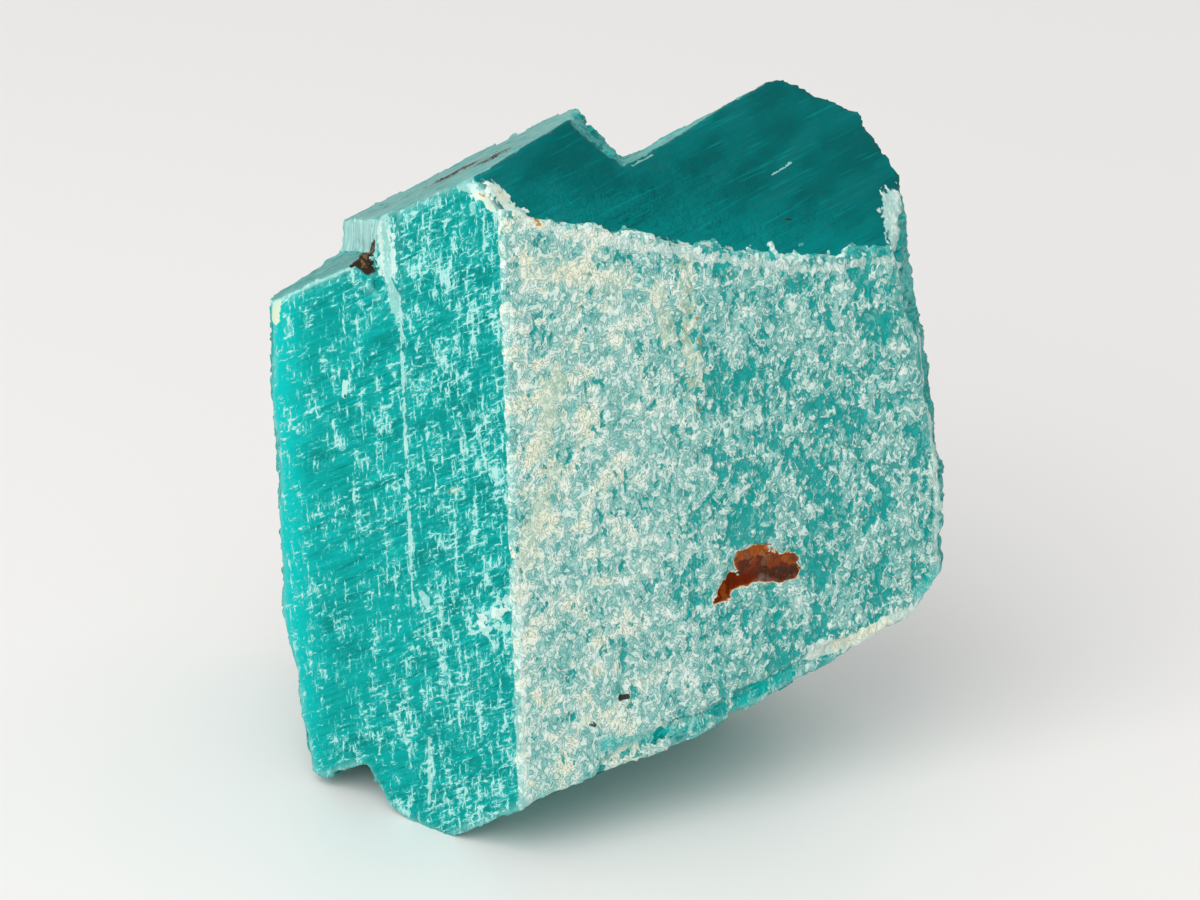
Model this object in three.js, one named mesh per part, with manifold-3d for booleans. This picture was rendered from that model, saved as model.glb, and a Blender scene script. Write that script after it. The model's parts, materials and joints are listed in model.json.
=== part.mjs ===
// Rough amazonite: a broken crystal of green microcline feldspar that stands on a small flat spot.
// Millimetres, +Z up. The origin is the middle of the resting flat, -Y is the front, where two prism
// faces meet at an upright edge, and +X runs to the right along the crusted prism face.

import * as THREE from "three";
import { mergeVertices } from "three/addons/utils/BufferGeometryUtils.js";
import Module from "manifold-3d";

const wasm = await Module();
wasm.setup();

// Places below are measured from the foot of the front edge, at the height of the ground.
const FLAT_MIDDLE = [0, 16];

// The prism. Its two front faces turn back from the X axis and meet at 120 degrees.
const LEFT_TURN = 37.8;
const RIGHT_TURN = 22.2;
const LEFT_WIDTH = 25;
const RIGHT_WIDTH = 36;
const CRYSTAL_DEPTH = 42;
const CRYSTAL_HEIGHT = 66;
const EDGE_LEAN = 1.33;

// The basal cleavage. Every terrace is parallel to it, a drop below the highest one.
const BASAL_DIP = 32.1;
const BASAL_TOWARDS = 149.9;
const TOP_TERRACE = 58.65;
const LEFT_TERRACE_DROP = 2.7;
const RIGHT_TERRACE_DROP = 5.85;
const UNDERSIDE_DROP = 56.1;
const FOOT_DROP = 59.5;

// Other faces: a point on each, how steeply it dips, and the way that it looks, in degrees.
const RISER = [-10.6, 7.3, 50, 89, 190.5];
const NOTCH = [5, 9.8, 56.5, 46.5, 17];
const LEFT_SHOULDER = [-16.4, 25.3, 39.7, 50, 150.7];
const TOP_FACE = [-0.72, 0, 54.08, 41.2, -49.1];

// The same for the broken ends, with the height of the steps on them.
const ENDS = [
  [24.2, 22.4, 54.5, 74, 88, 0.25],
  [26.5, 21.7, 52.5, 86, 52.2, 0.12],
  [28.2, 19.1, 50, 85, 32, 0.12],
  [32, 13.2, 24, 89, -8, 0.12],
  [31, 13.1, 32, 79.5, -8, 0.12],
  [32.3, 13.3, 18.6, 131, 6, 0.12],
  [-19.45, 14.6, 36, 91, 182, 0.12],
  [-19.25, 14.6, 17, 98, 182, 0.15],
];

// The underside: its foot face, and the chips that leave only the resting flat on the ground.
const FOOT_FACE = [4.9, 13.9, 0, 84, -48.5];
const EDGE_CHIPS = [
  [0.6, 0, 5.6, 144, -30],
  [0, 0, 5.5, 156, -42],
];
const CORNER_CHIPS = [
  [-14.5, 11.3, 2.2, 148, -30],
  [-11.9, 9.2, 2.4, 124, 175],
];
const FOOT_CHIP = [-10.3, 7.9, 0.4, 155, 165];
const FOOT_CHIP_END = [-12.2, 9.5, 0, 90, -38];
const RISES = [
  [-9.5, 9, 0, 172.3, 163.3, 0.12],
  [-5, 25, 0, 145, 90, 0.3],
];

// The back breaks down in steps on the cleavage: how far each riser stands behind the left face and
// behind the right one, and the drop of the tread below it.
const BACK_STEPS = [
  [19, 15.3, 14],
  [23, 19, 27],
  [27.5, 22.5, 40],
];
const BACK_DIP = 83;

// The pale crust on the right face: its thickness, how far it reaches into the stone below, the
// ragged lip where it ends under the top face, and the bare strip that it leaves above the underside.
const CRUST = 0.45;
const CRUST_BOND = 0.4;
const CRUST_LIP = [
  [-3, 56.6],
  [2, 53.8],
  [10, 50.9],
  [21, 47.3],
  [29, 46.3],
  [34, 46.6],
];
const CRUST_FOOT = [
  [-3, 2],
  [5, 5.5],
  [8, 8.4],
  [20, 11.6],
  [27, 13.9],
  [30, 11],
  [38, 11],
];
const RAGGED = 0.35;
const RAGGED_STEP = 0.7;

// The rust-stained hollow in the crust, along the right face from the edge and up from the ground.
const STAIN_DEPTH = 0.3;
const STAIN = [
  [16.1, 19.3],
  [17.7, 19.7],
  [19.1, 20.3],
  [20.2, 20.8],
  [22.3, 20],
  [23.3, 20.6],
  [23.2, 22.2],
  [20.5, 23.6],
  [19, 23.7],
  [17.7, 22.8],
  [17.1, 21.3],
];

// Two small pits in the crust.
const PITS = [
  [8.6, 12.8, 0.42],
  [5.9, 11, 0.3],
];

// The left face is stepped back a little beyond this distance from the edge, and less lower down.
const STEP_FROM_EDGE = 10.3;
const STEP_DEPTH = 0.4;
const STEP_FOOT = 20;
const STEP_TOP = 54;

// A chip off the upright corner between the two left terraces.
const CHIP_DEPTH = 1.1;
const CHIP = [
  [-13.4, 45.2],
  [-10.3, 43.4],
  [-10.5, 54],
  [-13.4, 54],
];

// A pocket where the left terrace meets its riser, and the crumbs in a spiral on its floor.
const POCKET = [-14.1, 46.5, -0.2];
const POCKET_RADIUS = 1.15;
const CRUMBS = 7;
const CRUMB_RADIUS = 0.45;
const CRUMB_TURN = 2.4;
const CRUMB_REACH = 0.9;
const CRUMB_FLOOR = -1.05;

// The sag of the top face towards the crust: its depth, its reach along and behind the right face.
const SAG = 1.45;
const SAG_LENGTH = 31;
const SAG_REACH = 8;

// Heights of the low steps and ripples on the broken faces.
const TERRACE_ROUGH = 0.12;
const SHOULDER_ROUGH = 0.3;
const TREAD_ROUGH = 0.25;
const BACK_ROUGH = 0.2;
const UNDERSIDE_ROUGH = 0.15;

// Half a side of the blocks that break faces off the prism, and the spacing of their relief.
const BLOCK = 65;
const CELL = 2;
const FINE_CELL = 1.25;

const WELD = 1e-3;

const radians = THREE.MathUtils.degToRad;
const lerp = THREE.MathUtils.lerp;

// ---------------------------------------------------------------- shapes

// A closed geometry as a solid that can be joined and cut.
function solid(geometry) {
  const bare = geometry.index ? geometry.toNonIndexed() : geometry.clone();
  bare.deleteAttribute("normal");
  bare.deleteAttribute("uv");
  const merged = mergeVertices(bare, WELD);
  return new wasm.Manifold(
    new wasm.Mesh({
      numProp: 3,
      vertProperties: merged.attributes.position.array,
      triVerts: new Uint32Array(merged.index.array),
    }),
  );
}

const points = (pairs) => pairs.map(([x, y]) => new THREE.Vector2(x, y));

// A plane through a point. Its outward side faces down the dip, towards an angle from +X.
function plane([x, y, z, dip, towards]) {
  const turn = radians(towards);
  const across = new THREE.Vector3(-Math.sin(turn), Math.cos(turn), 0);
  const out = new THREE.Vector3(Math.cos(turn), Math.sin(turn), 0);
  out.multiplyScalar(Math.sin(radians(dip))).setZ(Math.cos(radians(dip)));
  return { point: new THREE.Vector3(x, y, z), across, upDip: out.clone().cross(across), out };
}

// Everything on the outward side of a face. relief(s, t, place) raises its near side outwards.
function beyond(face, relief = null, cell = CELL) {
  const { point, across, upDip, out } = plane(face);
  const steps = relief ? Math.round((2 * BLOCK) / cell) : 1;
  const block = new THREE.BoxGeometry(2 * BLOCK, 2 * BLOCK, BLOCK, steps, steps, 1);
  block.translate(0, 0, BLOCK / 2);
  const turn = new THREE.Matrix4().makeBasis(across, upDip, out).setPosition(point);
  const corner = block.attributes.position;
  for (let i = 0; relief && i < corner.count; i += 1) {
    if (corner.getZ(i) < WELD) {
      const place = new THREE.Vector3().fromBufferAttribute(corner, i).applyMatrix4(turn);
      corner.setZ(i, relief(corner.getX(i), corner.getY(i), place));
    }
  }
  return solid(block.applyMatrix4(turn));
}

// The frame of a front face: x along it to the right, y up the crystal, z out of the face.
function faceFrame(turn) {
  const along = new THREE.Vector3(Math.cos(radians(turn)), Math.sin(radians(turn)), 0);
  const up = new THREE.Vector3(0, 0, 1);
  const frame = new THREE.Matrix4().makeBasis(along, up, along.clone().cross(up));
  return frame.premultiply(new THREE.Matrix4().makeRotationY(-radians(EDGE_LEAN)));
}

const leftFrame = faceFrame(-LEFT_TURN);
const rightFrame = faceFrame(RIGHT_TURN);

// A face some distance behind a front face, halfway up the crystal, that looks back.
function behind(turn, distance, dip = 90) {
  const towards = 90 + turn;
  const x = distance * Math.cos(radians(towards));
  const y = distance * Math.sin(radians(towards));
  return [x, y, CRYSTAL_HEIGHT / 2, dip, towards];
}

// A face on the basal cleavage, looking up or, for the underside, down.
const basal = (drop) => [-0.72, 0, TOP_TERRACE - drop, BASAL_DIP, BASAL_TOWARDS];
const basalUnder = (drop) => [-0.72, 0, TOP_TERRACE - drop, 180 - BASAL_DIP, BASAL_TOWARDS - 180];

// An outline drawn on a front face, as a slab between two depths out of the face.
function slab(outline, frame, inner, outer) {
  const shape = new THREE.Shape(outline);
  const made = new THREE.ExtrudeGeometry(shape, { depth: outer - inner, bevelEnabled: false });
  return solid(made.translate(0, 0, inner).applyMatrix4(frame));
}

// A cut into a front face that deepens from nothing at one height or width to a depth at another.
function wedge(outline, frame, depth, axis, from, to) {
  const shape = new THREE.Shape(points(outline));
  const made = new THREE.ExtrudeGeometry(shape, { depth: 3, bevelEnabled: false });
  const corner = made.attributes.position;
  for (let i = 0; i < corner.count; i += 1) {
    if (corner.getZ(i) < WELD) {
      corner.setZ(i, (-depth * (corner.getComponent(i, axis) - from)) / (to - from));
    }
  }
  return solid(made.applyMatrix4(frame));
}

// Takes away what lies on the outward side of every one of the blocks.
const breakOff = (stone, ...blocks) => stone.subtract(blocks.reduce((a, b) => a.intersect(b)));

// ---------------------------------------------------------------- relief

// A repeatable number from 0 to 1 for each pair of whole numbers.
function chance(i, j, seed) {
  const wave = Math.sin(i * 127.1 + j * 311.7 + seed * 74.7) * 43758.5453;
  return wave - Math.floor(wave);
}

// Smooth lumps from -1 to 1, about one unit across.
function lumps(x, y, seed) {
  const i = Math.floor(x);
  const j = Math.floor(y);
  const u = THREE.MathUtils.smoothstep(x - i, 0, 1);
  const v = THREE.MathUtils.smoothstep(y - j, 0, 1);
  const near = lerp(chance(i, j, seed), chance(i + 1, j, seed), u);
  const far = lerp(chance(i, j + 1, seed), chance(i + 1, j + 1, seed), u);
  return 2 * lerp(near, far, v) - 1;
}

// Broken feldspar: low steps of one height, with small lumps on them.
function broken(height, seed, size = 6) {
  return (s, t) => {
    const step = height * Math.round(2.2 * lumps(s / size, t / (size * 0.6), seed));
    return step + 0.3 * height * lumps(s / 2.7, t / 2.7, seed + 1);
  };
}

// The top face sags a little towards the lip of the crust, and is faintly rippled.
function topRelief(s, t, place) {
  const onFace = place.clone().applyMatrix4(rightFrame.clone().invert());
  const across = THREE.MathUtils.clamp(onFace.x / SAG_LENGTH, 0, 1);
  const near = THREE.MathUtils.clamp(1 + onFace.z / SAG_REACH, 0, 1);
  const sag = SAG * Math.sin(Math.PI * Math.sqrt(across)) * near * near;
  return -sag + TERRACE_ROUGH * lumps(s / 5, t / 3, 21);
}

// ---------------------------------------------------------------- the crystal

// The unbroken prism, standing on its end.
function prism() {
  const left = radians(180 - LEFT_TURN);
  const right = radians(RIGHT_TURN);
  const outline = points([
    [0, 0],
    [RIGHT_WIDTH * Math.cos(right), RIGHT_WIDTH * Math.sin(right)],
    [RIGHT_WIDTH * Math.cos(right), CRYSTAL_DEPTH],
    [LEFT_WIDTH * Math.cos(left), CRYSTAL_DEPTH],
    [LEFT_WIDTH * Math.cos(left), LEFT_WIDTH * Math.sin(left)],
  ]);
  const shape = new THREE.Shape(outline);
  const made = new THREE.ExtrudeGeometry(shape, { depth: CRYSTAL_HEIGHT, bevelEnabled: false });
  return solid(made.translate(0, 0, -2).rotateY(-radians(EDGE_LEAN)));
}

// The terraces at the top left, with the notch between the highest one and the right one.
function withTerraces(stone) {
  const riser = beyond(RISER);
  const notch = beyond(NOTCH, broken(TERRACE_ROUGH, 31, 4), FINE_CELL);
  let made = breakOff(stone, beyond(basal(0)));
  made = breakOff(made, beyond(basal(RIGHT_TERRACE_DROP)), notch);
  made = breakOff(made, beyond(basal(LEFT_TERRACE_DROP)), riser);
  return breakOff(made, beyond(LEFT_SHOULDER, broken(SHOULDER_ROUGH, 5, 7)), riser);
}

// The back goes down in basal steps, with risers parallel to the two front faces.
function withBack(stone) {
  return BACK_STEPS.reduce((made, [fromLeft, fromRight, drop], i) => {
    const tread = beyond(basal(drop), broken(TREAD_ROUGH, 40 + i, 8));
    const left = beyond(behind(-LEFT_TURN, fromLeft), broken(BACK_ROUGH, 43 + i));
    const right = beyond(behind(RIGHT_TURN, fromRight, BACK_DIP), broken(BACK_ROUGH, 46 + i));
    return breakOff(made, tread, left, right);
  }, stone);
}

// The left end, the right end and the round outline of the top face.
function withEnds(stone) {
  return ENDS.reduce((made, face, i) => breakOff(made, beyond(face, broken(face[5], 51 + i))), stone);
}

// The underside rises from the small resting flat on every side.
function withUnderside(stone) {
  const foot = beyond(FOOT_FACE);
  let made = breakOff(stone, beyond(basalUnder(UNDERSIDE_DROP), broken(UNDERSIDE_ROUGH, 60)), foot);
  made = breakOff(made, beyond(basalUnder(FOOT_DROP)));
  made = breakOff(made, ...EDGE_CHIPS.map((face) => beyond(face)), foot);
  made = breakOff(made, ...CORNER_CHIPS.map((face) => beyond(face)));
  made = breakOff(made, beyond(FOOT_CHIP), beyond(FOOT_CHIP_END));
  made = RISES.reduce((rest, face, i) => breakOff(rest, beyond(face, broken(face[5], 62 + i))), made);
  return breakOff(made, beyond([0, 0, 0, 180, 0]));
}

// A lumpy grain at a place on the left face.
function grain(radius, detail, [x, y, z]) {
  const made = new THREE.IcosahedronGeometry(radius, detail);
  const corner = made.attributes.position;
  const place = new THREE.Vector3();
  for (let i = 0; i < corner.count; i += 1) {
    place.fromBufferAttribute(corner, i);
    place.multiplyScalar(1 + 0.18 * lumps(place.x * 3 + x * 5, place.y * 3 + place.z * 2, 71));
    corner.setXYZ(i, place.x, place.y, place.z);
  }
  return solid(made.translate(x, y, z).applyMatrix4(leftFrame));
}

// Crumbs of iron oxide on the floor of the pocket.
function crumbs() {
  const made = [];
  for (let i = 0; i < CRUMBS; i += 1) {
    const turn = i * CRUMB_TURN;
    const reach = CRUMB_REACH * Math.sqrt((i + 0.5) / CRUMBS);
    const radius = CRUMB_RADIUS * (0.75 + 0.25 * chance(i, 3, 72));
    const x = POCKET[0] + reach * Math.cos(turn);
    const y = POCKET[1] + reach * Math.sin(turn);
    made.push(grain(radius, 0, [x, y, CRUMB_FLOOR + 0.35 * reach]));
  }
  return made.reduce((a, b) => a.add(b));
}

// The left face: its shallow step, the chipped corner, and the pocket with its crumbs.
function withLeftFace(stone) {
  const end = -LEFT_WIDTH - 2;
  const step = [
    [end, STEP_FOOT],
    [-STEP_FROM_EDGE, STEP_FOOT],
    [-STEP_FROM_EDGE, STEP_TOP],
    [end, STEP_TOP],
  ];
  const stepped = stone
    .subtract(wedge(step, leftFrame, STEP_DEPTH, 1, STEP_FOOT, STEP_TOP))
    .subtract(wedge(CHIP, leftFrame, CHIP_DEPTH, 0, CHIP[1][0], CHIP[0][0]));
  return stepped.subtract(grain(POCKET_RADIUS, 2, POCKET)).add(crumbs());
}

// A ragged line through a few places on the right face.
function ragged(places, seed) {
  const line = new THREE.SplineCurve(points(places));
  const steps = Math.round(line.getLength() / RAGGED_STEP);
  return line.getSpacedPoints(steps).map((at) => {
    at.y += RAGGED * (lumps(at.x * 1.1, 0, seed) + 0.6 * lumps(at.x * 2.3, 4, seed));
    return at;
  });
}

// The crust is the outermost part of the stone, within its own ragged outline.
function crust(stone) {
  const outline = [...ragged(CRUST_FOOT, 81), ...ragged(CRUST_LIP, 82).reverse()];
  const sheet = stone.intersect(slab(outline, rightFrame, -CRUST - CRUST_BOND, 1));
  const stained = sheet.subtract(slab(points(STAIN), rightFrame, -STAIN_DEPTH, 1));
  return PITS.reduce((made, [x, y, radius]) => {
    const pit = new THREE.IcosahedronGeometry(radius, 1).translate(x, y, 0);
    return made.subtract(solid(pit.applyMatrix4(rightFrame)));
  }, stained);
}

function amazonite() {
  const stone = withUnderside(withEnds(withBack(withTerraces(prism()))));
  const wall = points([
    [-BLOCK, -BLOCK],
    [BLOCK, -BLOCK],
    [BLOCK, 2 * BLOCK],
    [-BLOCK, 2 * BLOCK],
  ]);
  const core = withLeftFace(stone)
    .subtract(beyond(TOP_FACE, topRelief, FINE_CELL))
    .subtract(slab(wall, rightFrame, -CRUST, BLOCK));
  return core.add(crust(stone));
}

const finish = new THREE.MeshStandardMaterial({ color: 0x5ca8a1, roughness: 0.5, metalness: 0 });

// A solid as a named mesh, moved so that the middle of the resting flat is the origin.
function mesh(name, body, material) {
  const made = body.getMesh();
  const geometry = new THREE.BufferGeometry();
  geometry.setAttribute("position", new THREE.BufferAttribute(made.vertProperties, 3));
  geometry.setIndex(new THREE.BufferAttribute(made.triVerts, 1));
  geometry.translate(-FLAT_MIDDLE[0], -FLAT_MIDDLE[1], 0);
  geometry.computeVertexNormals();
  const piece = new THREE.Mesh(geometry, material);
  piece.name = name;
  return piece;
}

const specimen = new THREE.Group();
specimen.add(mesh("amazonite_crystal", amazonite(), finish));

export default specimen;
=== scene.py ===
"""Rough amazonite: the surface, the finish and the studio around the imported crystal."""

import json
import math

import bpy
from mathutils import Matrix, Vector

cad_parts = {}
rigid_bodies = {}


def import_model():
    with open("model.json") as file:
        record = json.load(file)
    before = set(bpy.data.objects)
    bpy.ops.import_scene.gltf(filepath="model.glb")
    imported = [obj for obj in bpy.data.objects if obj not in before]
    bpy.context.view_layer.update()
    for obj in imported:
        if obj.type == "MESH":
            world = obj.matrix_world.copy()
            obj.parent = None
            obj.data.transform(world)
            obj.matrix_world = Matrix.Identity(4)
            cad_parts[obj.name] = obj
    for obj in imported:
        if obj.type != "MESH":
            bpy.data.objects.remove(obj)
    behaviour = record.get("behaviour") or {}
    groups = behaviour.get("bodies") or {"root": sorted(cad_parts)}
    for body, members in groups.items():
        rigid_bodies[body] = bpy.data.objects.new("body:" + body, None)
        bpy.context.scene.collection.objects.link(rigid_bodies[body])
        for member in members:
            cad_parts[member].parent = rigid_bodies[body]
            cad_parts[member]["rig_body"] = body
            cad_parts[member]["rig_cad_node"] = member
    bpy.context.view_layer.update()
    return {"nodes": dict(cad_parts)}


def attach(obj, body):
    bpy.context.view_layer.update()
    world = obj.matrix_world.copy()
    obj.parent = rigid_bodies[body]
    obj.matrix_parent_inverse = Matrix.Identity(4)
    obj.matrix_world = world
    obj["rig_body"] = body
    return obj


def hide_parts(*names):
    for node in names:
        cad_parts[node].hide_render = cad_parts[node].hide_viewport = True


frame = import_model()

bl_info = {
    "name": "Rough amazonite",
    "version": (1, 0, 0),
    "blender": (4, 5, 0),
    "location": "View3D > Sidebar > Amazonite",
    "description": "A broken amazonite crystal with its crust, flecks and cleavage, on a studio floor",
    "category": "Object",
}

CRYSTAL = "amazonite_crystal"
STONE = "amazonite_stone"

MM = 0.001

# The crystal, in degrees and millimetres. The foot of its front edge stands on the ground.
EDGE_FOOT = (0, -16, 0)
EDGE_LEAN = 1.33
LEFT_TURN = -37.8
RIGHT_TURN = 22.2
BASAL_DIP = 32.1
BASAL_TOWARDS = 149.9
TOP_DIP = 41.2
TOP_TOWARDS = -49.1
# How far out the top face and the highest terrace are, along their own axes, and how much lower
# the terrace to the left of it is.
TOP_OUT = 40.38
BASAL_OUT = 50.01
STEP_DOWN = 2.29
# How far the top face may sag below its plane.
TOP_SAG = 1.6

# The turn of the cleavage lines of the left face, of the finer ones there and of those on the top face.
RIB_TURN = -32
FINE_RIB_TURN = -29
TOP_LINE_TURN = -6

# Places along the left face between which the flecks thicken, the body deepens and the rim is painted
# brighter, as painted light shining through the thin edge, and where the riser of the highest terrace
# begins.
FLECKS_ALONG = (-20, -2)
DEEP_ALONG = (-13, -5)
BRIGHT_ALONG = (-19, -23.5)
RISER_ALONG = (-12.9, -13.5)
# Places along the right face between which the crust spreads, wears down, thins and turns creamy.
SPREAD_ALONG = (-0.3, 1.5)
WEAR_ALONG = (9, 17)
THIN_ALONG = (8, 20)
CREAM_ALONG = (15, 5)
# Where the top face sags, along the right face and behind it, and where it turns lighter behind it.
SAG_ALONG = (0, 3)
SAG_BEHIND = (-9, -3)
LIGHT_BEHIND = (-4.5, -0.5)


def front_face(turn):
    """The axes of an upright face: along it to the right, up it, and out of it."""
    lean = Matrix.Rotation(-math.radians(EDGE_LEAN), 3, "Y")
    along = Vector((math.cos(math.radians(turn)), math.sin(math.radians(turn)), 0))
    up = Vector((0, 0, 1))
    return [lean @ along, lean @ up, lean @ along.cross(up)]


def dipping_face(dip, towards):
    """The axes of a dipping face: across it, up its dip, and out of it."""
    turn = math.radians(towards)
    across = Vector((-math.sin(turn), math.cos(turn), 0))
    out = Vector((math.cos(turn), math.sin(turn), 0)) * math.sin(math.radians(dip))
    out.z = math.cos(math.radians(dip))
    return [across, out.cross(across), out]


LEFT = front_face(LEFT_TURN)
RIGHT = front_face(RIGHT_TURN)
BASAL = dipping_face(BASAL_DIP, BASAL_TOWARDS)
TOP = dipping_face(TOP_DIP, TOP_TOWARDS)


# ---------------------------------------------------------------- wiring


class Wires:
    """Adds nodes to a shader or geometry tree and joins them up."""

    def __init__(self, tree):
        self.tree = tree

    def node(self, kind, settings=None, **inputs):
        """A node with its settings and its inputs, whose names have underscores for spaces."""
        made = self.tree.nodes.new(kind)
        for name, value in (settings or {}).items():
            setattr(made, name, value)
        for name, value in inputs.items():
            self.put(made.inputs[name.replace("_", " ")], value)
        return made

    def put(self, socket, value):
        """Links a socket to another one, or gives it a value."""
        if isinstance(value, bpy.types.NodeSocket):
            self.tree.links.new(value, socket)
        elif value is not None:
            socket.default_value = value

    def math(self, operation, a, b=None, c=None):
        made = self.node("ShaderNodeMath", {"operation": operation})
        for socket, value in zip(made.inputs, (a, b, c)):
            self.put(socket, value)
        return made.outputs[0]

    def vector(self, operation, a, b=None, scale=None):
        made = self.node("ShaderNodeVectorMath", {"operation": operation})
        self.put(made.inputs[0], a)
        self.put(made.inputs[1], b)
        self.put(made.inputs[3], scale)
        return made.outputs[1 if operation in ("DOT_PRODUCT", "LENGTH") else 0]

    def xyz(self, x=0.0, y=0.0, z=0.0):
        return self.node("ShaderNodeCombineXYZ", X=x, Y=y, Z=z).outputs[0]

    def split(self, vector):
        return self.node("ShaderNodeSeparateXYZ", Vector=vector).outputs

    def ramp(self, value, low, high, to_low=0.0, to_high=1.0):
        """A smooth step from to_low to to_high as a value goes from low to high."""
        made = self.node("ShaderNodeMapRange", {"interpolation_type": "SMOOTHSTEP", "clamp": False})
        names = ("Value", "From Min", "From Max", "To Min", "To Max")
        for name, number in zip(names, (value, low, high, to_low, to_high)):
            self.put(made.inputs[name], number)
        return made.outputs[0]

    def noise(self, place, scale, detail=2.0, roughness=0.5, distortion=0.0):
        made = self.node("ShaderNodeTexNoise", Vector=place, Scale=scale, Detail=detail)
        self.put(made.inputs["Roughness"], roughness)
        self.put(made.inputs["Distortion"], distortion)
        return made.outputs[0]

    def blocks(self, place, scale):
        """Three random numbers for each squarish block."""
        made = self.node("ShaderNodeTexVoronoi", {"distance": "CHEBYCHEV"}, Vector=place, Scale=scale)
        return self.split(made.outputs["Color"])

    def blend(self, a, b, share):
        """From one value to another."""
        made = self.node("ShaderNodeMix", {"data_type": "FLOAT"})
        for socket, value in zip((made.inputs[0], made.inputs[2], made.inputs[3]), (share, a, b)):
            self.put(socket, value)
        return made.outputs[0]

    def paint(self, under, over, share, how="MIX"):
        """One colour over another."""
        made = self.node("ShaderNodeMix", {"data_type": "RGBA", "blend_type": how})
        for socket, value in zip((made.inputs[0], made.inputs[6], made.inputs[7]), (share, under, over)):
            self.put(socket, value)
        return made.outputs[2]

    def on_face(self, place, face):
        """Millimetres along a face, up it and out of it, from the foot of the front edge."""
        return self.xyz(*[self.vector("DOT_PRODUCT", place, list(axis)) for axis in face])

    def stretched(self, place, x, y, z=1.0):
        """A pattern's place, finer along the axes with the larger numbers."""
        return self.vector("MULTIPLY", place, (x, y, z))

    def turned(self, place, angle):
        """A pattern's place turned about the axis out of its face."""
        made = self.node("ShaderNodeVectorRotate", {"rotation_type": "Z_AXIS"}, Vector=place, Angle=angle)
        return made.outputs[0]


def group(kind, name, fill, vectors, numbers, outputs):
    """A node group of one pattern. fill(wires, inputs) gives its outputs in order."""
    tree = bpy.data.node_groups.new(name, kind)
    for socket in vectors:
        tree.interface.new_socket(socket, in_out="INPUT", socket_type="NodeSocketVector")
    for socket, value in numbers.items():
        made = tree.interface.new_socket(socket, in_out="INPUT", socket_type="NodeSocketFloat")
        made.default_value = value
    for socket in outputs:
        tree.interface.new_socket(socket, in_out="OUTPUT", socket_type="NodeSocketFloat")
    wires = Wires(tree)
    start = wires.node("NodeGroupInput")
    end = wires.node("NodeGroupOutput")
    made = fill(wires, start.outputs)
    for socket, value in zip(end.inputs, made):
        wires.put(socket, value)
    return tree


def place_group(wires, tree, **values):
    """Places a pattern in a tree with its own values and gives its outputs."""
    kind = "GeometryNodeGroup" if wires.tree.type == "GEOMETRY" else "ShaderNodeGroup"
    made = wires.node(kind, {"node_tree": tree})
    for name, value in values.items():
        wires.put(made.inputs[name.replace("_", " ")], value)
    return made.outputs


# ---------------------------------------------------------------- patterns


def warped(wires, place, scale, reach):
    """A pattern's place, pushed about on its face by a noise."""
    aside = wires.noise(place, scale, 1.0)
    upward = wires.noise(wires.vector("ADD", place, (31, 17, 9)), scale, 1.0)
    push = wires.vector("SUBTRACT", wires.xyz(aside, upward, 0.5), (0.5, 0.5, 0.5))
    return wires.vector("ADD", place, wires.vector("SCALE", push, scale=reach))


def flecks(wires, given):
    """White albite flecks in a grid of upright and slanting dashes, lacy inside."""
    place = warped(wires, given["Place"], 2.6, 0.3)
    upright = wires.noise(wires.stretched(place, 3.6, 0.85), given["Size"], 3.0, 0.72)
    slanting = wires.stretched(wires.turned(place, math.radians(RIB_TURN)), 0.95, 4.2)
    slanting = wires.noise(slanting, given["Size"], 3.0, 0.72)
    level = wires.math("ADD", wires.math("MAXIMUM", upright, slanting), given["Cluster"])
    above = given["Level"]
    haze = wires.ramp(level, wires.math("SUBTRACT", above, 0.08), wires.math("ADD", above, 0.06))
    return [wires.ramp(level, above, wires.math("ADD", above, 0.1)), haze]


def worms(wires, given):
    """Fine curling ridges with a thin furrow beside each, like contour lines of a rough ground."""
    ground = wires.noise(wires.stretched(given["Place"], 1.15, 0.85), given["Size"], 2.0, 0.5, 0.4)
    wave = wires.math("SINE", wires.math("MULTIPLY", ground, given["Turns"]))
    furrow = wires.ramp(wires.math("ABSOLUTE", wires.math("ADD", wave, 0.3)), 0.42, 0.05)
    return [wires.ramp(wave, 0.25, 0.95), furrow, ground]


def cleavage(wires, given):
    """Fine straight lines along one direction, broken off here and there."""
    place = wires.stretched(wires.turned(given["Place"], given["Angle"]), 0.16, 3.4)
    lines = wires.noise(place, given["Size"], 2.0, 0.65)
    return [wires.ramp(lines, 0.58, 0.7), wires.ramp(lines, 0.44, 0.32)]


def stroke(wires, given):
    """How far a place is from a straight stroke. Scaled is the run over its own length squared."""
    start = wires.vector("SUBTRACT", given["Place"], given["From"])
    share = wires.vector("DOT_PRODUCT", start, given["Scaled"])
    share = wires.node("ShaderNodeClamp", Value=share).outputs[0]
    run = wires.vector("SCALE", given["Run"], scale=share)
    return [wires.vector("LENGTH", wires.vector("SUBTRACT", start, run))]


# Each pattern's function, vector inputs, number inputs with their defaults, and outputs.
PATTERNS = {
    "Flecks": (flecks, ("Place",), {"Size": 1.0, "Cluster": 0.2, "Level": 0.8}, ("Mask", "Haze")),
    "Worms": (worms, ("Place",), {"Size": 1.0, "Turns": 30.0}, ("Ridge", "Furrow", "Ground")),
    "Cleavage lines": (cleavage, ("Place",), {"Size": 1.0, "Angle": 0.0}, ("Light", "Dark")),
    "Stroke": (stroke, ("Place", "From", "Run", "Scaled"), {}, ("Away",)),
}


def pattern_groups(kind):
    """Every pattern as a node group for a shader or a geometry tree."""
    return {name: group(kind, name, *pattern) for name, pattern in PATTERNS.items()}


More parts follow.
